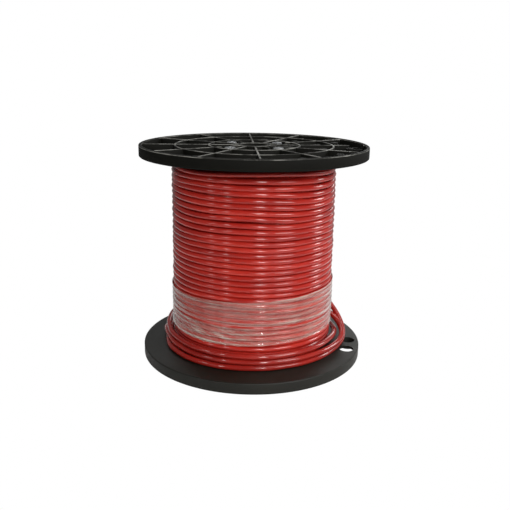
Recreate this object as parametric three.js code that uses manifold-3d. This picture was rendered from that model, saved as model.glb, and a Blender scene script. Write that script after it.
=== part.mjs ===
// Wire spool: a moulded two-flange cable reel with red building wire wound on it.
// Millimetres, +Z up the reel's axis. The origin is the centre of the lower rim's
// bottom edge, and -Y is the side on which the slack turns lie close to the winding.
import * as THREE from 'three';
import { mergeVertices } from 'three/addons/utils/BufferGeometryUtils.js';
import Module from 'manifold-3d';

const wasm = await Module();
wasm.setup();

// ---- Driving dimensions ----
const flangeDiameter = 266.7;   // 10.5 in reel
const reelHeight = 254;         // 10 in overall
const rimHeight = 13;           // depth of one flange moulding
const barrelDiameter = 101.6;   // 4 in tube under the wire
const arborDiameter = 31.8;     // takes a 1 1/4 in spindle
const wireDiameter = 6.35;      // 6 AWG building wire over its insulation
const windingDiameter = 193;    // over the outer layer
const gap = 0.3;                // room between pieces that touch

// ---- Flange moulding ----
const flangeRadius = flangeDiameter / 2;
const webThickness = 3;
const rimWall = 3.5;
const rimChamfer = 0.9;
const ribDrop = 0.8;            // ribs stand this much short of the rim
const hubDrop = 0.4;
const hubWall = 3.5;
const ribThickness = 2;
const ribCount = 12;
const ribTurn = -3;             // degrees from +X to the first radial rib
const barrelRingRadius = 53;    // ring rib over the barrel's end
const outerRingRadius = 92;
const tieHoleDiameter = 17;     // holes near the rim that the wire's end is tied through
const tieHoleRadius = 120;
const tieHoleAngles = [-3.7, -17];
const collaredHole = 0;         // a rib runs into this one, so it has a collar
const tieCollarWall = 2.2;
const tieCollarDepth = 5;       // below the web
const spigotHeight = 6;         // register that centres the barrel
const spigotWall = 3.2;
const padDiameter = 9;          // round moulding pads in the pockets
const padDrop = 3;
const padRings = [[81, 12], [111, 6]];   // ring radius, degrees from a rib to its pad

// ---- Barrel and tie bolts ----
const barrelWall = 5;
const boltCircle = 77;
const boltAngles = [45, 135, 225, 315];
const boltDiameter = 6;
const boltHoleDiameter = 6.8;
const seatDepth = 9;            // from the rim's edge down to the bolt seat
const seatDiameter = 24;        // over the low wall round the seat
const seatWall = 2;
const seatWallDrop = 1.4;       // below the ribs
const hexAcrossFlats = 11.1;
const headHeight = 4.4;
const nutHeight = 5.6;
const washerDiameter = 16;
const washerThickness = 1.6;
const boltEndDrop = 0.5;
const nutRoom = 0.35;             // radial room round the bolt in a nut
const washerRoom = 0.4;           // and in a washer

// ---- Film and slack wire ----
const filmBottom = 40.2;
const filmTop = 97;
const filmThickness = 1;
const slackOuterRadius = 114;
const slackTop = 39.4;
const copperDiameter = 4.6;
const copperLength = 9;
const leadSteps = 18;
const tailSteps = 7;

const roundSides = 60;          // sides of the large rounds
const bossSides = 16;
const padSides = 8;
const smallSides = 16;
const cordSides = 10;
const copperSides = 12;
const weldDistance = 1e-4;
const overshoot = 1;            // cutters run this far past the faces they open

const webFloor = rimHeight - webThickness;
const barrelRadius = barrelDiameter / 2;
const barrelBore = barrelRadius - barrelWall;
const windingRadius = windingDiameter / 2;
const wireRadius = wireDiameter / 2;
const degrees = Math.PI / 180;

// ---- Shape helpers ----
const solid = (geometry) => {
  const plain = geometry.index ? geometry.toNonIndexed() : geometry.clone();
  plain.deleteAttribute('normal');
  plain.deleteAttribute('uv');
  const merged = mergeVertices(plain, weldDistance);
  return new wasm.Manifold(new wasm.Mesh({
    numProp: 3,
    vertProperties: merged.attributes.position.array,
    triVerts: new Uint32Array(merged.index.array),
  }));
};

const geometryOf = (body) => {
  const mesh = body.getMesh();
  const geometry = new THREE.BufferGeometry();
  geometry.setAttribute('position', new THREE.BufferAttribute(mesh.vertProperties, 3));
  geometry.setIndex(new THREE.BufferAttribute(mesh.triVerts, 1));
  return geometry;
};

// A closed profile of [radius, height] points, anticlockwise, turned about Z.
const turned = (profile, sides = roundSides) => {
  const loop = [...profile, profile[0]].map(([r, z]) => new THREE.Vector2(r, z));
  return new THREE.LatheGeometry(loop, sides).rotateX(Math.PI / 2);
};

const tube = (inner, outer, low, high, sides = roundSides) => turned(
  [[inner, low], [outer, low], [outer, high], [inner, high]], sides);

const drum = (radius, low, high, sides = smallSides) => new THREE.CylinderGeometry(
  radius, radius, high - low, sides).rotateX(Math.PI / 2).translate(0, 0, (low + high) / 2);

const hexagon = () => {
  const corner = hexAcrossFlats / Math.sqrt(3);
  const outline = new THREE.Shape();
  for (let i = 0; i < 6; i += 1) {
    const angle = i * 60 * degrees;
    const move = i === 0 ? 'moveTo' : 'lineTo';
    outline[move](corner * Math.cos(angle), corner * Math.sin(angle));
  }
  outline.closePath();
  return outline;
};

const polar = (radius, angle, height = 0) => new THREE.Vector3(
  radius * Math.cos(angle * degrees), radius * Math.sin(angle * degrees), height);

// ---- Flange: ribbed open face down at z = 0, smooth face up at z = rimHeight ----
const makeFlange = () => {
  const ribTop = ribDrop;
  const ring = (radius) => [
    [radius - ribThickness / 2, webFloor], [radius - ribThickness / 2, ribTop],
    [radius + ribThickness / 2, ribTop], [radius + ribThickness / 2, webFloor],
  ];
  const arbor = arborDiameter / 2;
  const spigot = barrelBore - gap;
  const profile = [
    [arbor, hubDrop], [arbor + hubWall, hubDrop], [arbor + hubWall, webFloor],
    ...ring(barrelRingRadius), ...ring(outerRingRadius),
    [flangeRadius - rimWall, webFloor], [flangeRadius - rimWall, 0],
    [flangeRadius - rimChamfer, 0], [flangeRadius, rimChamfer],
    [flangeRadius, rimHeight - rimChamfer], [flangeRadius - rimChamfer, rimHeight],
    [spigot, rimHeight], [spigot, rimHeight + spigotHeight],
    [spigot - spigotWall, rimHeight + spigotHeight], [spigot - spigotWall, rimHeight],
    [arbor, rimHeight],
  ];
  let body = solid(turned(profile));
  const rootDepth = 1;   // ribs and pads run this far into the web and walls
  const add = (geometry) => { body = body.add(solid(geometry)); };
  const cut = (geometry) => { body = body.subtract(solid(geometry)); };

  const ribStart = arbor + hubWall - rootDepth;
  const ribEnd = flangeRadius - rimWall + rootDepth;
  for (let i = 0; i < ribCount; i += 1) {
    const angle = ribTurn + i * 360 / ribCount;
    const rib = new THREE.BoxGeometry(
      ribEnd - ribStart, ribThickness, webFloor + rootDepth - ribTop);
    rib.translate((ribStart + ribEnd) / 2, 0, (ribTop + webFloor + rootDepth) / 2);
    add(rib.rotateZ(angle * degrees));
    for (const [radius, lead] of padRings) {
      const spot = polar(radius, angle + lead);
      add(drum(padDiameter / 2, padDrop, webFloor + rootDepth, padSides)
        .translate(spot.x, spot.y, 0));
    }
  }
  for (const angle of boltAngles) {
    const spot = polar(boltCircle / 2, angle);
    cut(drum((seatDiameter - seatWall) / 2, -overshoot, seatDepth, bossSides)
      .translate(spot.x, spot.y, 0));
    add(tube(seatDiameter / 2 - seatWall, seatDiameter / 2, ribTop + seatWallDrop,
      webFloor + rootDepth, bossSides).translate(spot.x, spot.y, 0));
    add(drum(seatDiameter / 2, seatDepth, webFloor + rootDepth, bossSides)
      .translate(spot.x, spot.y, 0));
    cut(drum(boltHoleDiameter / 2, -overshoot, rimHeight + overshoot)
      .translate(spot.x, spot.y, 0));
  }
  for (const [i, angle] of tieHoleAngles.entries()) {
    const spot = polar(tieHoleRadius, angle);
    if (i === collaredHole) {
      add(drum(tieHoleDiameter / 2 + tieCollarWall, webFloor - tieCollarDepth,
        webFloor + rootDepth, bossSides).translate(spot.x, spot.y, 0));
    }
    cut(drum(tieHoleDiameter / 2, -overshoot, rimHeight + overshoot, bossSides)
      .translate(spot.x, spot.y, 0));
  }
  return geometryOf(body);
};

// ---- Fasteners, standing on the axis; each is moved out to its place on the circle ----
const headTop = seatDepth - washerThickness - 2 * gap;
const boltEnd = reelHeight - boltEndDrop;
const upperSeat = reelHeight - seatDepth;

const makeBolt = () => {
  const head = new THREE.ExtrudeGeometry(hexagon(), { depth: headHeight, bevelEnabled: false })
    .translate(0, 0, headTop - headHeight);
  const shank = drum(boltDiameter / 2, headTop - headHeight / 2, boltEnd);
  return geometryOf(solid(head).add(solid(shank)));
};

const makeNut = () => {
  const outline = hexagon();
  outline.holes.push(new THREE.Path().absarc(0, 0, boltDiameter / 2 + nutRoom, 0, 2 * Math.PI));
  return new THREE.ExtrudeGeometry(outline,
    { depth: nutHeight, bevelEnabled: false, curveSegments: smallSides / 2 });
};

const makeWasher = () => tube(
  boltDiameter / 2 + washerRoom, washerDiameter / 2, 0, washerThickness, smallSides);

// ---- Slack wire: azimuth is measured from -Y towards +X, seen as the slack turns lie ----
const around = (azimuth, radius, height) => new THREE.Vector3(
  radius * Math.sin(azimuth * degrees), -radius * Math.cos(azimuth * degrees), height);

// The lead rises from the foot of the winding, leans on the film and drops to the turns.
const leadRoute = [
  [188, 101.4, 43.4], [180, 101.4, 45.6], [168, 101.4, 49.4], [154, 101.4, 53.6],
  [140, 101.4, 56.6], [127, 101.4, 57.6], [115, 101.6, 56.2], [106, 103.0, 51.8],
  [100, 105.6, 46.4], [97.5, 107.8, 43.4],
].map((point) => around(...point));

const tailRoute = [
  [210, 118.8, 16.7], [202, 120.6, 16.6], [194, 121.6, 16.6], [186, 122.0, 16.6],
  [178, 122.0, 16.6],
].map((point) => around(...point));

const wireAlong = (route, steps) => {
  const section = new THREE.Shape().absarc(0, 0, wireRadius, 0, 2 * Math.PI);
  return new THREE.ExtrudeGeometry(section, {
    extrudePath: new THREE.CatmullRomCurve3(route),
    steps,
    curveSegments: cordSides / 2,
    bevelEnabled: false,
  });
};

const makeCopperEnd = () => {
  const last = tailRoute[tailRoute.length - 1];
  const before = tailRoute[tailRoute.length - 2];
  const ahead = last.clone().sub(before).normalize();
  const start = last.clone().addScaledVector(ahead, gap);
  const geometry = drum(copperDiameter / 2, 0, copperLength, copperSides);
  geometry.applyQuaternion(new THREE.Quaternion()
    .setFromUnitVectors(new THREE.Vector3(0, 0, 1), ahead));
  return geometry.translate(start.x, start.y, start.z);
};

// ---- Materials ----
const finish = (color, roughness, metalness = 0, extra = {}) => new THREE.MeshStandardMaterial(
  { color, roughness, metalness, ...extra });
const blackPlastic = () => finish(0x1b1c19, 0.5);
const barrelPlastic = () => finish(0x24231f, 0.6);
const zincSteel = () => finish(0xa9abad, 0.35, 1);
const redInsulation = () => finish(0xa31c14, 0.25);
const clearFilm = () => finish(0xe6e8ea, 0.15, 0, { transparent: true, opacity: 0.35 });
const copper = () => finish(0xb8683a, 0.3, 1);

// ---- Assembly ----
const group = new THREE.Group();
const place = (name, geometry, material, position = new THREE.Vector3()) => {
  const mesh = new THREE.Mesh(geometry, material);
  mesh.name = name;
  mesh.position.copy(position);
  group.add(mesh);
  return mesh;
};

place('lower_flange', makeFlange(), blackPlastic());
place('upper_flange', makeFlange(), blackPlastic(), new THREE.Vector3(0, 0, reelHeight))
  .rotation.x = Math.PI;

const windingLow = rimHeight + gap;
const windingHigh = reelHeight - rimHeight - gap;
place('barrel', tube(barrelBore, barrelRadius, windingLow, windingHigh), barrelPlastic());
place('wire_winding', tube(barrelRadius + gap, windingRadius, windingLow, windingHigh),
  redInsulation());

boltAngles.forEach((angle, i) => {
  const at = (height) => polar(boltCircle / 2, angle, height);
  place(`tie_bolt_${i + 1}`, makeBolt(), zincSteel(), at(0));
  place(`bolt_washer_${i + 1}`, makeWasher(), zincSteel(), at(seatDepth - washerThickness - gap));
  place(`nut_washer_${i + 1}`, makeWasher(), zincSteel(), at(upperSeat + gap));
  place(`tie_nut_${i + 1}`, makeNut(), zincSteel(),
    at(upperSeat + washerThickness + 2 * gap));
});

const filmInner = windingRadius + gap;
place('stretch_film', tube(filmInner, filmInner + filmThickness, filmBottom, filmTop),
  clearFilm());
place('loose_turns', tube(filmInner + gap, slackOuterRadius, windingLow, slackTop),
  redInsulation());
place('lead_wire', wireAlong(leadRoute, leadSteps), redInsulation());
place('wire_tail', wireAlong(tailRoute, tailSteps), redInsulation());
place('wire_end', makeCopperEnd(), copper());

export default group;
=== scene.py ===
# %% [markdown]
# # A reel of red building wire
# The object is a shop reel: two black moulded flanges clamped on a tube by four tie
# bolts, with eight layers of red insulated wire wound between them. A band of clear
# stretch film holds the turns, and the last three turns have sprung loose and lie round
# the foot of the winding. Each piece is made in its own cell, around the CAD frame.

# %% Load the frame
import math
import bmesh
import bpy
from mathutils import Matrix, Vector, noise


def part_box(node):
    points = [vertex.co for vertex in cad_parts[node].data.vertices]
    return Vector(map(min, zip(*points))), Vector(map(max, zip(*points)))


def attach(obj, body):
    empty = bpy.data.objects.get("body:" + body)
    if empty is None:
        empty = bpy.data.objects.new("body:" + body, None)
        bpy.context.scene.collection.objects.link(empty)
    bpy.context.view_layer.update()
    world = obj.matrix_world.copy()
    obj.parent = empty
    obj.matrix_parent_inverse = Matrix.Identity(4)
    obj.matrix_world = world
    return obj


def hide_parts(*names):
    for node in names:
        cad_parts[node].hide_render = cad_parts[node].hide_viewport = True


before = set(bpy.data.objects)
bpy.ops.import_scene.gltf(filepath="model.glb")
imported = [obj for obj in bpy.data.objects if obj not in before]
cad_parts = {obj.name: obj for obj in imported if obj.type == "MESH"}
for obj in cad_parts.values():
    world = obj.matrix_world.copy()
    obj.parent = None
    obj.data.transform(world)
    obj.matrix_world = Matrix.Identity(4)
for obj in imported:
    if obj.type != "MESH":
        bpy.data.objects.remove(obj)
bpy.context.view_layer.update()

# %% [markdown]
# ## Sizes that every piece shares
# The outside sizes come from the frame, so a change in the CAD moves the looks with it.
# What the CAD solids don't show, such as the wire's own thickness, is stated here.

# %% Shared sizes
MM = 0.001
FLANGE_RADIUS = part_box("lower_flange")[1].x
REEL_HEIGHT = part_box("upper_flange")[1].z
BARREL_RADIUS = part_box("barrel")[1].x
WINDING_LOW, WINDING_HIGH = (corner.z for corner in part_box("wire_winding"))
WINDING_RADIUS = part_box("wire_winding")[1].x
RIM_HEIGHT = 13 * MM
WIRE_DIAMETER = 6.35 * MM
WIRE_RADIUS = WIRE_DIAMETER / 2
TAU = 2 * math.pi
print("flange radius", round(FLANGE_RADIUS, 5), "winding radius", round(WINDING_RADIUS, 5))


def around(azimuth, radius, height):
    """A point at an azimuth in degrees from -Y towards +X, as one walks round the reel."""
    turn = math.radians(azimuth)
    return Vector((radius * math.sin(turn), -radius * math.cos(turn), height))


# %% [markdown]
# ## Camera
# A catalogue view of a reel is taken from a little above the upper flange, with a
# long enough lens that the two flanges look almost the same size. The camera stands
# 0.8 m from the axis at the height of a second reel stacked on the first, and looks
# down by about 16 degrees. It leans by less than a degree, as a hand-held one does.

# %% Camera
CAMERA_DISTANCE = 0.7984
CAMERA_HEIGHT = 0.3440
LOOK_DOWN = 0.27424
LEAN = 0.01427
LOOK_RIGHT = 0.00343
camera_data = bpy.data.cameras.new("camera")
camera_data.lens = 48.03
camera_data.sensor_width = 36
camera = bpy.data.objects.new("camera", camera_data)
bpy.context.collection.objects.link(camera)
camera.matrix_world = (
    Matrix.Translation((0, -CAMERA_DISTANCE, CAMERA_HEIGHT))
    @ Matrix.Rotation(-LOOK_RIGHT, 4, "Z")
    @ Matrix.Rotation(math.pi / 2 - LOOK_DOWN, 4, "X")
    @ Matrix.Rotation(LEAN, 4, "Z")
)
bpy.context.scene.camera = camera

# %% [markdown]
# ## Helpers for pieces
# A piece is a mesh in the reel's own frame that rides on the one body, "root". Normals
# are smoothed where faces meet at a small angle, so rounds look round and edges stay
# crisp without a modifier.

# %% Piece helpers
SHARP_ANGLE = math.radians(32)


def finish_piece(piece, material, slot, *nodes):
    piece.data.materials.clear()
    piece.data.materials.append(material)
    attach(piece, "root")
    if nodes:
        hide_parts(*nodes)
    return piece


def piece_from(bm, name, closed=True):
    """Turns a bmesh into an object in the scene, a closed one with its normals outwards."""
    if closed:
        bmesh.ops.recalc_face_normals(bm, faces=bm.faces)
    mesh = bpy.data.meshes.new(name)
    bm.to_mesh(mesh)
    bm.free()
    mesh.shade_smooth()
    mesh.set_sharp_from_angle(angle=SHARP_ANGLE)
    piece = bpy.data.objects.new(name, mesh)
    bpy.context.collection.objects.link(piece)
    return piece


def rounded(outline, steps=3):
    """An outline of (radius, height, corner radius) points, with its corners as arcs."""
    points = []
    for i, (r, z, bend) in enumerate(outline):
        here = Vector((r, z))
        back = Vector(outline[i - 1][:2]) - here
        ahead = Vector(outline[(i + 1) % len(outline)][:2]) - here
        if not bend:
            points.append(here)
            continue
        half = back.angle(ahead) / 2
        reach = bend / math.tan(half)
        middle = here + (back.normalized() + ahead.normalized()).normalized() * (
            bend / math.sin(half))
        first = here + back.normalized() * reach - middle
        last = here + ahead.normalized() * reach - middle
        for k in range(steps + 1):
            spoke = first.lerp(last, k / steps)
            points.append(middle + spoke.normalized() * bend)
    return points


def turned(bm, outline, steps=128):
    """Spins a closed outline of (radius, height) points about the reel's axis."""
    ring = [bm.verts.new((p[0], 0, p[1])) for p in outline]
    edges = [bm.edges.new((ring[i - 1], ring[i])) for i in range(len(ring))]
    bmesh.ops.spin(bm, geom=ring + edges, cent=(0, 0, 0), axis=(0, 0, 1),
                   angle=TAU, steps=steps, use_merge=True)
    return bm


# %% [markdown]
# ## Glossy red insulation
# The wire's jacket is a thin clear nylon skin over red PVC, so it has a sharp gloss over
# a deep colour. The colour drifts a little from turn to turn, where the layers have
# rubbed, and faint dust breaks the gloss up. The noises read Object coordinates, in
# metres, so their scale is stated per metre.

# %% Red insulation material


def principled(name, **settings):
    """A material with one Principled shader, its sockets set by their names."""
    material = bpy.data.materials.new(name)
    material.use_nodes = True
    shader = material.node_tree.nodes["Principled BSDF"]
    for socket, value in settings.items():
        shader.inputs[socket.replace("_", " ")].default_value = value
    return material, material.node_tree.nodes, material.node_tree.links, shader


def noise_node(nodes, links, scale, stretch=(1, 1, 1), detail=4.0, roughness=0.55):
    """A noise on Object coordinates, drawn out along the axes by stretch."""
    place = nodes.new("ShaderNodeTexCoord")
    mapping = nodes.new("ShaderNodeMapping")
    mapping.inputs["Scale"].default_value = stretch
    texture = nodes.new("ShaderNodeTexNoise")
    texture.inputs["Scale"].default_value = scale
    texture.inputs["Detail"].default_value = detail
    texture.inputs["Roughness"].default_value = roughness
    links.new(place.outputs["Object"], mapping.inputs["Vector"])
    links.new(mapping.outputs["Vector"], texture.inputs["Vector"])
    return texture


def ramp_node(nodes, links, source, stops):
    """A colour ramp from source, with stops of (position, colour)."""
    ramp = nodes.new("ShaderNodeValToRGB")
    while len(ramp.color_ramp.elements) < len(stops):
        ramp.color_ramp.elements.new(0.5)
    for element, (position, colour) in zip(ramp.color_ramp.elements, stops):
        element.position = position
        element.color = (*colour, 1)
    links.new(source, ramp.inputs["Fac"])
    return ramp


def grey(value):
    return (value, value, value)


def bump_node(nodes, links, source, shader, distance, strength=1.0):
    bump = nodes.new("ShaderNodeBump")
    bump.inputs["Distance"].default_value = distance
    bump.inputs["Strength"].default_value = strength
    links.new(source, bump.inputs["Height"])
    links.new(bump.outputs["Normal"], shader.inputs["Normal"])
    return bump


def red_insulation(name, shade=1.0):
    material, nodes, links, shader = principled(
        name, Specular_IOR_Level=0.45, Coat_Weight=0.3, Coat_Roughness=0.06)
    drift = noise_node(nodes, links, 16, (1, 1, 9), 3.0)
    reds = [(0.30, (0.31, 0.011, 0.007)), (0.52, (0.42, 0.019, 0.012)),
            (0.72, (0.52, 0.032, 0.020))]
    colour = ramp_node(nodes, links, drift.outputs["Fac"], [
        (stop, tuple(v * shade for v in red)) for stop, red in reds])
    links.new(colour.outputs["Color"], shader.inputs["Base Color"])
    dust = noise_node(nodes, links, 420, (1, 1, 1), 5.0)
    gloss = ramp_node(nodes, links, dust.outputs["Fac"], [
        (0.35, grey(0.14)), (0.75, grey(0.30))])
    links.new(gloss.outputs["Color"], shader.inputs["Roughness"])
    bump_node(nodes, links, dust.outputs["Fac"], shader, 0.00004, 0.5)
    return material


RED = red_insulation("red_insulation")
# The slack wire's copy of the red is darkened to 0.78: painted shade for the loose turns low
# round the foot.
SHADED_RED = red_insulation("red_painted_shade", 0.78)

# %% [markdown]
# ## The slack wire
# The last turns of the wire have sprung off the winding. The wire leaves the winding low
# at the back, leans on the film as it rises, drops outwards on the right and then goes
# round the foot three times, each turn lying on the last one at the front and beside it
# at the back. It ends behind the reel with its cut end bare. A curve follows listed
# points, as a cord that is not neatly coiled has to, and no bend is tight, as
# the wire is thick. The lead and the tail follow their CAD solids.

# %% Slack wire route
start_points = [(222, 93.3, 37.5), (214, 95.2, 38.3), (206, 98.0, 39.3), (197, 100.4, 41.2)]
lead_points = [
    (188, 101.7, 43.4), (180, 101.9, 45.6), (168, 101.6, 49.4), (154, 101.4, 53.6),
    (140, 101.4, 56.8), (127, 101.4, 57.4), (118, 101.5, 55.8), (110, 102.8, 51.8),
    (104, 105.6, 45.8), (99, 109.6, 38.4), (94.5, 112.8, 30.6), (89.5, 114.0, 23.8),
    (83, 112.8, 19.0)]
low_turn = [
    (75, 109.6, 16.8), (63, 106.4, 16.4), (45, 103.8, 16.4), (20, 101.4, 16.4),
    (0, 101.2, 16.4), (-30, 103.0, 16.4), (-60, 104.2, 16.4), (-80, 103.6, 16.4),
    (-96, 102.5, 17.8), (-106, 100.8, 21.2), (-120, 100.3, 25.6), (-140, 100.2, 29.2),
    (-165, 100.2, 31.6), (-190, 100.2, 32.8), (-215, 100.5, 34.6), (-235, 100.7, 36.8),
    (-246, 100.8, 38.2)]
middle_turn = [
    (-256, 101.4, 38.8), (-264, 104.4, 36.8), (-271, 109.0, 32.4), (-278, 111.8, 28.0),
    (-286, 111.4, 24.8), (-297, 108.0, 23.1), (-315, 103.9, 22.8), (-340, 101.2, 22.8),
    (-360, 100.4, 22.9), (-390, 100.4, 22.9), (-420, 101.2, 23.0), (-440, 103.2, 23.6),
    (-450, 106.2, 22.8), (-458, 108.3, 20.2), (-466, 108.4, 17.4), (-475, 107.8, 16.4),
    (-500, 106.8, 16.4), (-540, 106.4, 16.4), (-570, 105.6, 16.6), (-590, 104.2, 17.4),
    (-606, 102.6, 20.8)]
high_turn = [
    (-616, 101.6, 24.4), (-628, 102.0, 26.6), (-640, 102.6, 28.0), (-655, 101.8, 29.2),
    (-675, 101.0, 29.8), (-700, 100.4, 29.3), (-720, 100.3, 29.4), (-750, 101.0, 30.6),
    (-780, 101.4, 31.8), (-800, 102.0, 32.8), (-818, 103.6, 34.4), (-828, 104.6, 35.4),
    (-836, 105.6, 35.6), (-843, 108.6, 33.6), (-850, 112.4, 28.6), (-856, 115.0, 23.4),
    (-863, 117.2, 18.8)]
tail_points = [
    (210, 118.8, 16.7), (202, 120.6, 16.6), (194, 121.6, 16.6), (186, 122.0, 16.6),
    (178, 122.0, 16.6)]


def cord_from(name, points, radius, sides=5, resolution=6):
    """A round cord along a smooth curve through the points."""
    data = bpy.data.curves.new(name, "CURVE")
    data.dimensions = "3D"
    data.bevel_depth = radius
    data.bevel_resolution = sides
    data.use_fill_caps = True
    data.resolution_u = resolution
    spline = data.splines.new("BEZIER")
    spline.bezier_points.add(len(points) - 1)
    for knot, point in zip(spline.bezier_points, points):
        knot.co = point
        knot.handle_left_type = "AUTO"
        knot.handle_right_type = "AUTO"
    piece = bpy.data.objects.new(name, data)
    bpy.context.collection.objects.link(piece)
    return piece


slack_route = [around(azimuth, radius * MM, height * MM) for azimuth, radius, height in (
    start_points + lead_points + low_turn + middle_turn + high_turn + tail_points)]
slack_wire = cord_from("slack_wire", slack_route, WIRE_RADIUS)
finish_piece(slack_wire, SHADED_RED, "red_insulation", "loose_turns", "lead_wire",
             "wire_tail")

# %% [markdown]
# ## The cut end
# The wire was cut square and stripped for a few millimetres, so nineteen copper strands
# stick out of the jacket: one in the middle and two rings round it. They lean a little
# round the axis, because the strands are twisted. Each strand is a short thin cylinder,
# and together they are set on the last point of the slack wire, along its direction.

# %% Cut end


def mottled_metal(name, roughness, scale, detail, dark, light):
    """Bare metal whose tone drifts between dark and light."""
    material, nodes, links, shader = principled(name, Metallic=1.0, Roughness=roughness)
    tone = noise_node(nodes, links, scale, (1, 1, 1), detail)
    colour = ramp_node(nodes, links, tone.outputs["Fac"], [(0.3, dark), (0.7, light)])
    links.new(colour.outputs["Color"], shader.inputs["Base Color"])
    return material


COPPER = mottled_metal("copper_strands", 0.3, 900, 3.0,
                       (0.55, 0.22, 0.10), (0.85, 0.42, 0.22))
STRAND_RADIUS = 0.49 * MM
STRAND_RINGS = [(0, 1), (0.98, 6), (1.9, 12)]     # ring radius in mm, strands on it
STRAND_LEAN = 0.12                                # radians for each mm of ring radius
BARE_LENGTH = 9 * MM
tip = slack_route[-1]
ahead = (slack_route[-1] - slack_route[-2]).normalized()
turn_to_tip = Vector((0, 0, 1)).rotation_difference(ahead).to_matrix().to_4x4()
bm = bmesh.new()
for ring_radius, count in STRAND_RINGS:
    for k in range(count):
        lean = Matrix.Rotation(TAU * k / count, 4, "Z") @ Matrix.Translation(
            (ring_radius * MM, 0, BARE_LENGTH / 2)) @ Matrix.Rotation(
            STRAND_LEAN * ring_radius, 4, "X")
        bmesh.ops.create_cone(bm, cap_ends=True, segments=10, radius1=STRAND_RADIUS,
                              radius2=STRAND_RADIUS, depth=BARE_LENGTH, matrix=lean)
bmesh.ops.transform(bm, verts=bm.verts, matrix=Matrix.Translation(tip) @ turn_to_tip)
cut_end = piece_from(bm, "copper_end")
finish_piece(cut_end, COPPER, "copper", "wire_end")

# %% [markdown]
# ## The winding
# A winding machine lays the turns side by side, and its lay is never perfect: turns sit
# a little high or low, and towards the top they stand slightly apart, so the layer below
# shows as a dark line. The outer layer and the one below it are real helices, swept from
# one long curve each and made into meshes. The layers further in can't be seen, and a
# plain core fills their place.

# %% Winding
TIGHT_PITCH = 6.37 * MM
OPEN_PITCH = 6.78 * MM
OPEN_FROM = 158 * MM
POINTS_PER_TURN = 48
LAYER_STEP = WIRE_DIAMETER * 0.9
END_POINTS = 8               # a layer's end sinks into the layer below over these points
CORE_OVERLAP = 0.6           # wire radii by which the core lies inside the under layer's line
CORE_GAP = 0.3 * MM
outer_line = WINDING_RADIUS - WIRE_RADIUS


def lay_height(turns):
    """Height of the wire's middle after so many turns, before it wanders."""
    tight_turns = (OPEN_FROM - WINDING_LOW - WIRE_RADIUS) / TIGHT_PITCH
    height = WINDING_LOW + WIRE_RADIUS + min(turns, tight_turns) * TIGHT_PITCH
    return height + max(0.0, turns - tight_turns) * OPEN_PITCH


def wander(turn, height, seed):
    """A smooth number from about -1 to 1 that is the same on both sides of the seam."""
    where = Vector((math.cos(turn) * 1.1, math.sin(turn) * 1.1, height / 0.045))
    return 2 * noise.noise(where + Vector((seed, 0, 0)))


def looseness(height):
    """How much the lay wanders: little at the foot, most under the upper flange."""
    return 0.25 + 0.75 * min(1.0, max(0.0, (height - 0.12) / 0.09))


def lay_point(turns, line_radius, seed, way=1):
    turn = TAU * turns
    height = lay_height(turns)
    loose = looseness(height)
    height += 2.1 * MM * loose * wander(turn, height, seed)
    height += 0.6 * MM * loose * wander(turn, height * 5, seed + 9)
    radius = line_radius + 0.55 * MM * wander(turn, height * 4, seed + 20)
    height = min(max(height, WINDING_LOW + WIRE_RADIUS), WINDING_HIGH - WIRE_RADIUS)
    return Vector((radius * math.sin(way * turn), -radius * math.cos(way * turn), height))


def wound_layer(name, line_radius, seed, way, sides):
    total = 0.0
    while lay_height(total) < WINDING_HIGH - WIRE_RADIUS:
        total += 1 / POINTS_PER_TURN
    count = int(total * POINTS_PER_TURN)
    data = bpy.data.curves.new(name, "CURVE")
    data.dimensions = "3D"
    data.bevel_depth = WIRE_RADIUS
    data.bevel_resolution = sides
    data.use_fill_caps = True
    spline = data.splines.new("POLY")
    spline.points.add(count - 1)
    for k in range(count):
        sunk = max(0.0, 1 - (count - 1 - k) / END_POINTS) ** 2 * LAYER_STEP
        spline.points[k].co = (
            *lay_point(k / POINTS_PER_TURN, line_radius - sunk, seed, way), 1)
    swept = bpy.data.objects.new(name + "_curve", data)
    mesh = bpy.data.meshes.new_from_object(swept)
    bpy.data.objects.remove(swept)
    mesh.name = name
    mesh.shade_smooth()
    piece = bpy.data.objects.new(name, mesh)
    bpy.context.collection.objects.link(piece)
    print(name, round(total, 1), "turns,", len(mesh.polygons), "faces")
    return piece


outer_layer = wound_layer("outer_layer", outer_line, 3.0, -1, 4)
finish_piece(outer_layer, RED, "red_insulation", "wire_winding")
under_layer = wound_layer("under_layer", outer_line - LAYER_STEP, 41.0, 1, 2)
finish_piece(under_layer, RED, "red_insulation")

bm = bmesh.new()
core_outside = outer_line - LAYER_STEP - WIRE_RADIUS * CORE_OVERLAP
core_inside = BARREL_RADIUS + CORE_GAP
turned(bm, [(core_inside, WINDING_LOW), (core_outside, WINDING_LOW),
            (core_outside, WINDING_HIGH), (core_inside, WINDING_HIGH)], 96)
core = piece_from(bm, "wire_core")
finish_piece(core, RED, "red_insulation")
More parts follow.
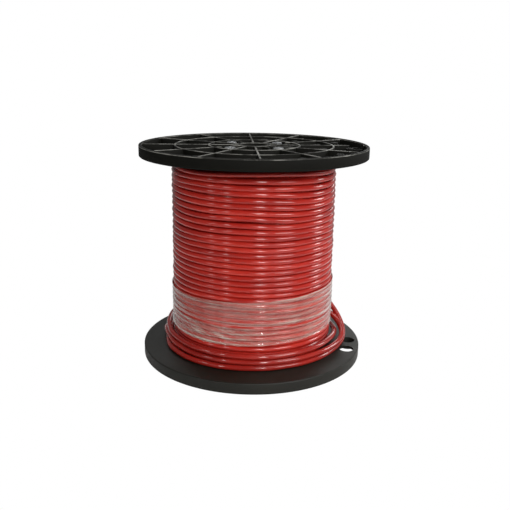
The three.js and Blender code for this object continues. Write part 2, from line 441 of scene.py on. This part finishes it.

# %% [markdown]
# ## Stretch film
# The film is one strip, about 1.3 m long, pulled tight twice round the lower half of the
# winding. It sags between the turns, so it carries their ripple. Its upper edge is
# folded over, its lower edge has rolled into a bead, and the second lap covers only the
# upper part, so creases run down slantwise below it. The strip starts as a flat grid
# that is rolled round the winding, so its area stays true. An attribute called "veil"
# says how much milkiness the film has at each point, because pulled film whitens in its
# folds, and a second attribute marks a thin line on the crown of each turn, where a pale
# line is painted as a highlight.

# %% Film band
FILM_TURNS = 2.08
FILM_STEPS = 440
FILM_ROWS = 84
SAG = 0.34 * MM              # half the film's ripple from turn to turn
LAP_STEP = 0.4 * MM          # the second lap lies this far outside the first
FOLD = 3.8 * MM              # width of the folded upper edge
BEAD = 0.8 * MM              # half width of the rolled lower edge
CREASE_SLANT = 0.6           # millimetres that a crease drops in each degree
GATHERED_TURN = 7.5          # the second lap's lower edge lies in this turn's groove
FILM_CLEARANCE = 0.6 * MM    # from the winding to the middle of the film's ripple
LAP_JOIN = (0.95, 0.1)       # turns at which the second lap starts, and how long that takes
film_line = WINDING_RADIUS + FILM_CLEARANCE
film_start = math.radians(150)


def film_edges(turn, second):
    """Heights of the strip's two edges at a turn about the axis, for either lap."""
    low = (43.2 - 1.8 * math.cos(turn) + 1.6 * math.sin(2 * turn)) * MM
    groove = WINDING_LOW + WIRE_RADIUS + GATHERED_TURN * TIGHT_PITCH
    gathered = groove - TIGHT_PITCH * math.sin(turn) / TAU
    high = (92.6 + 4 * math.sin(turn) - 0.9 * (1 - second)) * MM
    return low + (gathered - low) * second, high, low, gathered


def ridges(u, v, seed):
    """Sharp smooth-sided ridges, 1 along their crests and near 0 between them."""
    return max(0.0, 1 - 3.2 * abs(noise.noise(Vector((u, v, seed))))) ** 2


def film_point(along, across):
    """One point of the strip, its milkiness, and its painted highlight line on a crown."""
    turn = film_start + TAU * FILM_TURNS * along
    azimuth = (math.degrees(turn) + 180) % 360 - 180
    second = min(1.0, max(0.0, (FILM_TURNS * along - LAP_JOIN[0]) / LAP_JOIN[1]))
    bottom, top, low, gathered = film_edges(turn, second)
    height = bottom + (top - bottom) * across
    crest = math.cos(TAU * (height - WINDING_LOW - WIRE_RADIUS) / TIGHT_PITCH + turn)
    below = (1 - second) * min(1.0, max(0.0, (gathered - 1.6 * MM - height) / (2 * MM)))
    below_lap = (height - gathered + 0.5 * MM) / (1.3 * MM)
    clear_line = (1 - second) * math.exp(-below_lap ** 2)
    left_side = 0.35 + 0.65 * math.exp(-((azimuth + 32) / 34) ** 2)
    slant = height / MM + CREASE_SLANT * azimuth
    crease = below * left_side * ridges(slant / 2.2, azimuth / 40, 7.0)
    pucker = noise.noise(Vector((turn * 6, height / (9 * MM), 1.0 + second)))
    fold = 1 if height > top - FOLD else 0
    bead = math.exp(-((height - bottom) / BEAD) ** 2)
    lift = SAG * crest + 0.10 * MM * pucker + 0.6 * MM * crease
    lift += 0.25 * MM * fold + (0.8 - 0.5 * second) * MM * bead
    radius = film_line + LAP_STEP * second + lift
    veil = 0.10 + 0.06 * max(0.0, crest) ** 3 + 0.09 * pucker
    veil += 0.05 * below + 0.38 * crease + 0.15 * fold + 0.12 * bead
    veil *= 1 - 0.9 * clear_line
    # A thin pale line on each turn's crown, a painted highlight.
    painted_crest_glint = max(0.0, crest) ** 9 * (1 - clear_line) * (0.7 + 0.6 * pucker)
    return (radius * math.sin(turn), -radius * math.cos(turn), height), veil, painted_crest_glint


bm = bmesh.new()
bmesh.ops.create_grid(bm, x_segments=FILM_STEPS, y_segments=FILM_ROWS, size=0.5)
veil_layer = bm.verts.layers.float.new("veil")
glint_layer = bm.verts.layers.float.new("painted_crest_glint")
for vertex in bm.verts:
    vertex.co, vertex[veil_layer], vertex[glint_layer] = film_point(
        vertex.co.x + 0.5, vertex.co.y + 0.5)
film = piece_from(bm, "film_band", closed=False)
film.data.shade_smooth()
film.visible_shadow = False

# %% [markdown]
# ## Film material
# Stretch film is clear, and what one sees is a pale milkiness and a full gloss. The
# milkiness is the first shader's alpha: it follows the veil attribute and is broken up
# by long thin stretch marks along the strip. Along the crowns of the turns the alpha is
# raised, most where the film is seen edge-on, so pale lines stand there as painted
# highlights. The first shader's colour is pink where the film faces the camera, a
# painted glow of the red wire under it, and white where it is seen edge-on, a painted
# sheen. The gloss is a second shader, mixed in by Fresnel, because alpha would weaken
# it together with the milkiness.

# %% Film material


def clear_film():
    material, nodes, links, shader = principled(
        "clear_film", Roughness=0.35, Specular_IOR_Level=0.0)

    def attribute(name):
        node = nodes.new("ShaderNodeAttribute")
        node.attribute_name = name
        return node.outputs["Fac"]

    def joined(operation, first, second, third=None):
        node = nodes.new("ShaderNodeMath")
        node.operation = operation
        for socket, source in zip(node.inputs, (first, second, third)):
            if source is not None:
                links.new(source, socket)
        return node

    edge = nodes.new("ShaderNodeLayerWeight")
    edge.inputs["Blend"].default_value = 0.33
    # Pink facing the camera, a painted glow of the red wire beneath, and white edge-on, a
    # painted sheen.
    tint = ramp_node(nodes, links, edge.outputs["Facing"], [
        (0.25, (0.53, 0.45, 0.39)), (0.62, (0.92, 0.86, 0.81))])
    links.new(tint.outputs["Color"], shader.inputs["Base Color"])
    marks = noise_node(nodes, links, 9, (1, 1, 42), 5.0, 0.7)
    marked = ramp_node(nodes, links, marks.outputs["Fac"], [
        (0.36, grey(0.25)), (0.52, grey(0.95)), (0.68, grey(2.8))])
    # Painted highlight: the crown lines turn opaque where the film is seen edge-on.
    painted_rim_glint = ramp_node(nodes, links, edge.outputs["Facing"], [
        (0.15, grey(0.10)), (0.40, grey(0.20)), (0.80, grey(1.0))])
    cloudy = joined("MULTIPLY", attribute("veil"), marked.outputs["Color"])
    # The alpha: the film's milkiness, plus the painted highlight lines on the crowns.
    milk_and_glint = joined("MULTIPLY_ADD", attribute("painted_crest_glint"), painted_rim_glint.outputs["Color"],
                   cloudy.outputs["Value"])
    milk_and_glint.use_clamp = True
    links.new(milk_and_glint.outputs["Value"], shader.inputs["Alpha"])
    bump = bump_node(nodes, links, marks.outputs["Fac"], shader, 0.00008, 0.6)
    gloss = nodes.new("ShaderNodeBsdfGlossy")
    gloss.inputs["Roughness"].default_value = 0.07
    links.new(bump.outputs["Normal"], gloss.inputs["Normal"])
    coated = nodes.new("ShaderNodeMixShader")
    links.new(edge.outputs["Fresnel"], coated.inputs["Fac"])
    links.new(shader.outputs["BSDF"], coated.inputs[1])
    links.new(gloss.outputs["BSDF"], coated.inputs[2])
    links.new(coated.outputs["Shader"], nodes["Material Output"].inputs["Surface"])
    return material


finish_piece(film, clear_film(), "clear_film", "stretch_film")

# %% [markdown]
# ## Black moulded plastic
# The flanges are injection-moulded in black plastic with a fine satin grain. Handling
# leaves faint scuffs. On the upper flange, a band of heights just under the top of the
# ribs is mixed in patches with a lighter and glossier finish: the lighter colour is a
# painted highlight along the rib tops. The foot and the top are two shades of one
# plastic: the top is a darker copy as painted shade, and the foot a lighter copy as
# painted light.

# %% Black plastic material
SATIN_BLACK = (0.0060, 0.0058, 0.0034)
# Paler colour laid on the band just under the rib tops: a painted highlight.
RIB_HIGHLIGHT_TINT = (0.26, 0.255, 0.23)
RIB_BAND_ROUGHNESS = 0.30


def black_plastic(name, base, roughness, specular, highlight_band_at=None):
    """Satin black; if a height is given, a band there is made paler and glossier in patches,
    the paler colour a painted highlight.
    """
    material, nodes, links, shader = principled(name, Specular_IOR_Level=specular)
    scuffs = noise_node(nodes, links, 14, (1, 1, 1), 6.0, 0.7)
    colour = ramp_node(nodes, links, scuffs.outputs["Fac"], [
        (0.35, base), (0.62, tuple(v * 1.4 for v in base)),
        (0.80, tuple(v * 2.2 for v in base))])
    satin = ramp_node(nodes, links, scuffs.outputs["Fac"], [
        (0.3, grey(roughness)), (0.75, grey(roughness + 0.14))])
    tint, rough = colour.outputs["Color"], satin.outputs["Color"]
    # A band of heights just under the rib tops, broken into patches, gets a painted highlight
    # colour and a lower roughness.
    if highlight_band_at is not None:
        place = nodes.new("ShaderNodeTexCoord")
        split = nodes.new("ShaderNodeSeparateXYZ")
        links.new(place.outputs["Object"], split.inputs["Vector"])
        height = nodes.new("ShaderNodeMapRange")
        height.inputs["From Min"].default_value = highlight_band_at - MM
        height.inputs["From Max"].default_value = highlight_band_at + MM
        links.new(split.outputs["Z"], height.inputs["Value"])
        band = ramp_node(nodes, links, height.outputs["Result"], [
            (0.2, grey(0)), (0.4, grey(1)), (0.6, grey(1)), (0.7, grey(0))])
        patches = noise_node(nodes, links, 30, (1, 1, 1), 5.0, 0.7)
        highlight_patches = ramp_node(nodes, links, patches.outputs["Fac"], [
            (0.42, grey(0.12)), (0.60, grey(1.0))])
        glossy_highlight_band = nodes.new("ShaderNodeMath")
        glossy_highlight_band.operation = "MULTIPLY"
        links.new(band.outputs["Color"], glossy_highlight_band.inputs[0])
        links.new(highlight_patches.outputs["Color"], glossy_highlight_band.inputs[1])

        def blend(source, band_value):
            mix = nodes.new("ShaderNodeMix")
            mix.data_type = "RGBA"
            links.new(glossy_highlight_band.outputs["Value"], mix.inputs["Factor"])
            links.new(source, mix.inputs["A"])
            mix.inputs["B"].default_value = (*band_value, 1)
            return mix.outputs["Result"]

        tint, rough = blend(tint, RIB_HIGHLIGHT_TINT), blend(rough, grey(RIB_BAND_ROUGHNESS))
    links.new(tint, shader.inputs["Base Color"])
    links.new(rough, shader.inputs["Roughness"])
    grain = noise_node(nodes, links, 1400, (1, 1, 1), 3.0, 0.6)
    bump_node(nodes, links, grain.outputs["Fac"], shader, 0.00006, 0.6)
    return material


# Lit and shaded copies of one black: the top at half the foot's colour, as painted shade.
LIT_FOOT_BLACK = black_plastic("foot_black_lit", tuple(v * 0.95 for v in SATIN_BLACK), 0.45, 0.35)
SHADED_TOP_BLACK = black_plastic("top_black_painted_shade", tuple(v * 0.5 for v in SATIN_BLACK), 0.6, 0.14,
                          highlight_band_at=REEL_HEIGHT - 0.8 * MM)

# %% [markdown]
# ## The flanges
# One moulding serves as both flanges. Its inner face is smooth for the wire, and its
# outer face is open, with a rim, two ring ribs, twelve radial ribs, a hub ring round the
# arbor hole and a walled seat for each tie bolt. The round parts come from one outline
# spun about the axis, and the ribs and bosses are joined to it as solids, so the
# moulding is one closed body as the real one is.

# %% Flange moulding
WEB_FLOOR = 10 * MM
RIB_DROP = 0.8 * MM
RIB_THICKNESS = 2 * MM
RIM_WALL = 3.5 * MM
HUB_BORE = 15.9 * MM
HUB_WALL = 3.5 * MM
HUB_DROP = 0.4 * MM
RING_RIBS = (53 * MM, 92 * MM)
RIB_TURN = math.radians(-3)
RIB_COUNT = 12
SPIGOT = BARREL_RADIUS - 5.3 * MM
SPIGOT_WALL = 3.2 * MM
SPIGOT_HEIGHT = 6 * MM
COLLARED_HOLE = math.radians(-3.7)
PLAIN_HOLE = math.radians(-17)
COLLAR_DEPTH = 5 * MM
TIE_HOLE_CIRCLE = 120 * MM
TIE_HOLE_RADIUS = 8.5 * MM
BOLT_CIRCLE = 38.5 * MM
BOLT_TURNS = [math.radians(45 + 90 * k) for k in range(4)]
SEAT_DEPTH = 9 * MM
SEAT_RADIUS = 12 * MM
SEAT_WALL = 1.5 * MM
SEAT_WALL_DROP = 1.4 * MM    # below the ribs
BOLT_HOLE_RADIUS = 3.4 * MM
COLLAR_WALL = 2.2 * MM
PAD_RADIUS = 4.5 * MM
PAD_TOP = 3 * MM
PAD_RINGS = ((81, 12), (111, 6))     # ring radius in mm, degrees from a rib to its pad
EDGE_ROUND = 0.4 * MM
ROOT = 1 * MM                # how far joined solids reach into each other


def flange_outline():
    outline = [(HUB_BORE, HUB_DROP, 0.5), (HUB_BORE + HUB_WALL, HUB_DROP, 0.5),
               (HUB_BORE + HUB_WALL, WEB_FLOOR, 0.8)]
    for ring in RING_RIBS:
        inner, outer = ring - RIB_THICKNESS / 2, ring + RIB_THICKNESS / 2
        outline += [(inner, WEB_FLOOR, 0.8), (inner, RIB_DROP, 0.4),
                    (outer, RIB_DROP, 0.4), (outer, WEB_FLOOR, 0.8)]
    inner = FLANGE_RADIUS - RIM_WALL
    outline += [(inner, WEB_FLOOR, 1.2), (inner, 0, 0.6), (FLANGE_RADIUS, 0, 1.0),
                (FLANGE_RADIUS, RIM_HEIGHT, 1.3), (SPIGOT, RIM_HEIGHT, 0),
                (SPIGOT, RIM_HEIGHT + SPIGOT_HEIGHT, 0.5),
                (SPIGOT - SPIGOT_WALL, RIM_HEIGHT + SPIGOT_HEIGHT, 0.5),
                (SPIGOT - SPIGOT_WALL, RIM_HEIGHT, 0), (HUB_BORE, RIM_HEIGHT, 0.5)]
    return [(p.x, p.y) for p in rounded([(r, z, bend * MM) for r, z, bend in outline])]


def combine(base, tool, operation):
    """Joins tool to base, or cuts it away, and removes tool."""
    modifier = base.modifiers.new("combine", "BOOLEAN")
    modifier.operation = operation
    modifier.solver = "MANIFOLD"
    modifier.object = tool
    result = bpy.data.meshes.new_from_object(
        base.evaluated_get(bpy.context.evaluated_depsgraph_get()))
    base.modifiers.clear()
    base.data = result
    bpy.data.objects.remove(tool)


def bars(bm, turns, start, end, low, high, thickness):
    """Radial bars with their lower edges rounded, at the given turns about the axis."""
    for turn in turns:
        made = bmesh.ops.create_cube(bm, size=1)["verts"]
        shape = (Matrix.Rotation(turn, 4, "Z")
                 @ Matrix.Translation(((start + end) / 2, 0, (low + high) / 2))
                 @ Matrix.Diagonal((end - start, thickness, high - low, 1)))
        bmesh.ops.transform(bm, verts=made, matrix=shape)
        tops = {e for v in made for e in v.link_edges
                if all(abs(w.co.z - low) < 1e-6 for w in e.verts)
                and e.calc_length() > 2 * thickness}
        bmesh.ops.bevel(bm, geom=list(tops), offset=0.4 * MM, segments=2, profile=0.5,
                        affect="EDGES", material=-1)


def posts(bm, spots, radius, low, high, sides, soft=0.0):
    """Upright round posts at the (radius, turn) spots, with their lower edge rounded."""
    for circle, turn in spots:
        place = Matrix.Rotation(turn, 4, "Z") @ Matrix.Translation(
            (circle, 0, (low + high) / 2))
        made = bmesh.ops.create_cone(bm, cap_ends=True, segments=sides, radius1=radius,
                                     radius2=radius, depth=high - low, matrix=place)
        if soft:
            rim = {e for v in made["verts"] for e in v.link_edges
                   if all(abs(w.co.z - low) < 1e-6 for w in e.verts)}
            bmesh.ops.bevel(bm, geom=list(rim), offset=soft, segments=2, profile=0.5,
                            affect="EDGES", material=-1)


def make_flange(name):
    bm = bmesh.new()
    turned(bm, flange_outline(), 144)
    flange = piece_from(bm, name)
    rib_turns = [RIB_TURN + TAU * k / RIB_COUNT for k in range(RIB_COUNT)]
    bolt_spots = [(BOLT_CIRCLE, turn) for turn in BOLT_TURNS]
    hole_spots = [(TIE_HOLE_CIRCLE, turn) for turn in (COLLARED_HOLE, PLAIN_HOLE)]
    pad_spots = [(radius * MM, turn + math.radians(lead)) for turn in rib_turns
                 for radius, lead in PAD_RINGS]
    steps = [
        ("UNION", lambda b: bars(b, rib_turns, HUB_BORE + HUB_WALL - ROOT,
                                 FLANGE_RADIUS - RIM_WALL + ROOT, RIB_DROP,
                                 WEB_FLOOR + ROOT, RIB_THICKNESS)),
        ("UNION", lambda b: posts(b, pad_spots, PAD_RADIUS, PAD_TOP, WEB_FLOOR + ROOT,
                                  24, 0.5 * MM)),
        ("UNION", lambda b: posts(b, bolt_spots, SEAT_RADIUS, RIB_DROP + SEAT_WALL_DROP,
                                  WEB_FLOOR + ROOT, 40, EDGE_ROUND)),
        ("UNION", lambda b: posts(b, hole_spots[:1], TIE_HOLE_RADIUS + COLLAR_WALL,
                                  WEB_FLOOR - COLLAR_DEPTH, WEB_FLOOR + ROOT, 48,
                                  EDGE_ROUND)),
        ("DIFFERENCE", lambda b: posts(b, bolt_spots, SEAT_RADIUS - SEAT_WALL, -ROOT,
                                       SEAT_DEPTH, 40)),
        ("DIFFERENCE", lambda b: posts(b, bolt_spots, BOLT_HOLE_RADIUS, -ROOT,
                                       RIM_HEIGHT + ROOT, 24)),
        ("DIFFERENCE", lambda b: posts(b, hole_spots, TIE_HOLE_RADIUS, -ROOT,
                                       RIM_HEIGHT + ROOT, 48)),
    ]
    for operation, build in steps:
        bm = bmesh.new()
        build(bm)
        combine(flange, piece_from(bm, "tool"), operation)
    flange.data.name = name
    flange.data.shade_smooth()
    flange.data.set_sharp_from_angle(angle=SHARP_ANGLE)
    print(name, len(flange.data.polygons), "faces")
    return flange


foot_flange = make_flange("foot_flange")
top_flange = foot_flange.copy()
top_flange.data = foot_flange.data.copy()
top_flange.name = top_flange.data.name = "top_flange"
bpy.context.collection.objects.link(top_flange)
top_flange.data.transform(
    Matrix.Translation((0, 0, REEL_HEIGHT)) @ Matrix.Rotation(math.pi, 4, "X"))
finish_piece(foot_flange, LIT_FOOT_BLACK, "black_plastic", "lower_flange")
finish_piece(top_flange, SHADED_TOP_BLACK, "black_plastic", "upper_flange")

# %% [markdown]
# ## Tie bolts
# Four zinc plated bolts pull the flanges together against the ends of the barrel. Heads
# and nuts are cold formed hexagons, so a cone has taken their corners off on the outer
# side. The washers are stamped and have soft edges. Only the last turns of the thread
# can be seen, so the thread is a row of turned grooves. Each fastener is made once on
# the axis and then set out at its four places, every nut stopped at another angle.

# %% Tie bolts
HEX_CORNER = 11.1 * MM / math.sqrt(3)
HEAD_HEIGHT = 4.4 * MM
NUT_HEIGHT = 5.6 * MM
BOLT_RADIUS = 3 * MM
THREAD_ROOT = 2.45 * MM
THREAD_PITCH = 1 * MM
THREAD_LENGTH = 12 * MM
BOLT_END_DROP = 0.5 * MM
WASHER_RADIUS = 8 * MM
WASHER_BORE = 3.3 * MM
WASHER_THICKNESS = 1.6 * MM
PART_GAP = 0.3 * MM
HEX_CONE = 0.985             # the cone's radius, of the corners' radius
HEX_CHAMFER = 0.13           # height of the cone, of the corners' radius
NUT_STEP = 17                # degrees from one nut's stopping angle to the next
head_top = SEAT_DEPTH - WASHER_THICKNESS - 2 * PART_GAP


def hexagon(name, low, high):
    """A hexagon on the axis with its corners taken off at the low end."""
    bm = bmesh.new()
    bmesh.ops.create_cone(bm, cap_ends=True, segments=6, radius1=HEX_CORNER,
                          radius2=HEX_CORNER, depth=high - low,
                          matrix=Matrix.Translation((0, 0, (low + high) / 2)))
    piece = piece_from(bm, name)
    bm = bmesh.new()
    posts(bm, [(0, 0)], HEX_CORNER * HEX_CONE, low, high, 36, HEX_CORNER * HEX_CHAMFER)
    combine(piece, piece_from(bm, "tool"), "INTERSECT")
    return piece


def make_bolt():
    bolt_end = REEL_HEIGHT - BOLT_END_DROP
    outline = [(0, head_top - HEAD_HEIGHT / 2), (BOLT_RADIUS, head_top - HEAD_HEIGHT / 2)]
    for k in range(round(THREAD_LENGTH / THREAD_PITCH)):
        crest = bolt_end - THREAD_LENGTH + k * THREAD_PITCH
        outline += [(BOLT_RADIUS, crest), (THREAD_ROOT, crest + THREAD_PITCH / 2)]
    outline += [(THREAD_ROOT, bolt_end), (0, bolt_end)]
    bm = bmesh.new()
    turned(bm, outline, 20)
    bmesh.ops.remove_doubles(bm, verts=bm.verts, dist=1e-6)
    bolt = hexagon("bolt", head_top - HEAD_HEIGHT, head_top)
    combine(bolt, piece_from(bm, "tool"), "UNION")
    return bolt


def make_washer():
    bm = bmesh.new()
    half = WASHER_THICKNESS / 2
    edge = [(WASHER_BORE, -half, 0.2 * MM), (WASHER_RADIUS, -half, 0.4 * MM),
            (WASHER_RADIUS, half, 0.4 * MM), (WASHER_BORE, half, 0.2 * MM)]
    turned(bm, [(p.x, p.y) for p in rounded(edge, 2)], 40)
    return piece_from(bm, "washer")


def make_nut():
    nut = hexagon("nut", -NUT_HEIGHT / 2, NUT_HEIGHT / 2)
    bm = bmesh.new()
    posts(bm, [(0, 0)], BOLT_RADIUS, -NUT_HEIGHT, NUT_HEIGHT, 20)
    combine(nut, piece_from(bm, "tool"), "DIFFERENCE")
    return nut


ZINC = mottled_metal("zinc_steel", 0.42, 220, 4.0,
                     (0.20, 0.205, 0.21), (0.40, 0.405, 0.41))


def set_out(master, name, node, height=0.0, over=False):
    """Puts copies of a fastener in the four bolt places, and removes the first one."""
    for k, turn in enumerate(BOLT_TURNS):
        piece = master.copy()
        piece.data = master.data.copy()
        piece.name = piece.data.name = f"{name}_{k + 1}"
        bpy.context.collection.objects.link(piece)
        spin = Matrix.Rotation(math.radians(NUT_STEP * (k + 1)), 4, "Z")
        if over:
            spin = spin @ Matrix.Rotation(math.pi, 4, "X")
        place = Matrix.Rotation(turn, 4, "Z") @ Matrix.Translation(
            (BOLT_CIRCLE, 0, height))
        piece.data.transform(place @ spin)
        piece.data.shade_smooth()
        piece.data.set_sharp_from_angle(angle=SHARP_ANGLE)
        finish_piece(piece, ZINC, "zinc_steel", f"{node}_{k + 1}")
    bpy.data.objects.remove(master)


washer_low = SEAT_DEPTH - PART_GAP - WASHER_THICKNESS / 2
washer_high = REEL_HEIGHT - washer_low
nut_middle = REEL_HEIGHT - head_top + NUT_HEIGHT / 2
set_out(make_bolt(), "steel_bolt", "tie_bolt")
set_out(make_washer(), "lower_washer", "bolt_washer", washer_low)
set_out(make_washer(), "upper_washer", "nut_washer", washer_high)
set_out(make_nut(), "steel_nut", "tie_nut", nut_middle, over=True)

# %% [markdown]
# ## The barrel
# The barrel is hidden by the wire and is only seen down the arbor hole, so its CAD node
# is fine enough. It gets the same moulded plastic, a little greyer, as a pipe has.

# %% Barrel finish
BARREL_BLACK = black_plastic("barrel_plastic", (0.016, 0.016, 0.014), 0.55, 0.3)
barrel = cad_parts["barrel"]
barrel.data.materials.clear()
barrel.data.materials.append(BARREL_BLACK)
left_over = [name for name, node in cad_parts.items() if not node.hide_render]
print("CAD nodes still shown:", left_over)

# %% [markdown]
# ## Floor and light
# A catalogue picture of a reel is cut out on a white page, so the page is white to the
# camera and the studio behind it is dim. The reel stands on a white table half a metre
# in radius: it brightens the lower rim, while the upper rim looks past its edge into the
# dark. Narrow softboxes give the wire its columns of short highlights, one column each,
# and broad ones on the right light the side of the winding and the tops of the ribs.

# %% Floor and lights
TABLE_RADIUS = 0.55
bm = bmesh.new()
bmesh.ops.create_circle(bm, cap_ends=True, segments=96, radius=TABLE_RADIUS)
floor = piece_from(bm, "floor")
floor_white, _, _, _ = principled(
    "floor_white", Roughness=0.9, Base_Color=(0.85, 0.85, 0.84, 1))
floor.data.materials.append(floor_white)
floor.visible_camera = False

world = bpy.data.worlds.new("studio")
bpy.context.scene.world = world
world.use_nodes = True
sky, sky_links = world.node_tree.nodes, world.node_tree.links
direction = sky.new("ShaderNodeTexCoord")
towards = sky.new("ShaderNodeVectorMath")
towards.operation = "DOT_PRODUCT"
towards.inputs[1].default_value = Vector((0.5, 0.85, 0.1)).normalized()
sky_links.new(direction.outputs["Generated"], towards.inputs[0])
nearness = sky.new("ShaderNodeMapRange")
nearness.inputs["From Min"].default_value = -1.0
sky_links.new(towards.outputs["Value"], nearness.inputs["Value"])
studio = ramp_node(sky, sky_links, nearness.outputs["Result"], [
    (0.0, grey(0.05)), (0.5, grey(0.09)), (0.72, grey(0.18)), (0.95, grey(0.26))])
sky_links.new(studio.outputs["Color"], sky["Background"].inputs["Color"])
page = sky.new("ShaderNodeBackground")
page.inputs["Color"].default_value = (1, 1, 1, 1)
rays = sky.new("ShaderNodeLightPath")
seen = sky.new("ShaderNodeMixShader")
sky_links.new(rays.outputs["Is Camera Ray"], seen.inputs["Fac"])
sky_links.new(sky["Background"].outputs["Background"], seen.inputs[1])
sky_links.new(page.outputs["Background"], seen.inputs[2])
sky_links.new(seen.outputs["Shader"], sky["World Output"].inputs["Surface"])


def softbox(name, azimuth, distance, height, size, radiance):
    """A rectangular light that faces the reel, as bright as radiance wherever it's seen."""
    data = bpy.data.lights.new(name, "AREA")
    data.shape = "RECTANGLE"
    data.size, data.size_y = size
    data.energy = radiance * math.pi * size[0] * size[1]
    lamp = bpy.data.objects.new(name, data)
    bpy.context.collection.objects.link(lamp)
    lamp.visible_camera = False
    lamp.location = around(azimuth, distance, height)
    aim = Vector((0, 0, REEL_HEIGHT / 2)) - lamp.location
    lamp.rotation_mode = "QUATERNION"
    lamp.rotation_quaternion = aim.to_track_quat("-Z", "Y")


softbox("key_strip", 12.5, 2.2, 1.0, (0.42, 0.6), 26)
softbox("left_strip", -36, 2.2, 1.0, (0.24, 0.6), 14)
softbox("far_left_strip", -60, 2.2, 1.0, (0.24, 0.6), 8)
softbox("broad_right", 46, 2.2, 1.05, (0.9, 0.8), 9.5)
softbox("right_strip", 104, 2.0, 0.9, (0.4, 0.8), 12)
softbox("back_right", 160, 2.0, 0.95, (1.0, 0.6), 2.6)
softbox("back_fill", 200, 1.5, 2.2, (1.0, 0.8), 4.5)
softbox("overhead", 60, 0.8, 2.4, (1.2, 1.2), 3.4)
bpy.context.scene.view_settings.view_transform = "Standard"
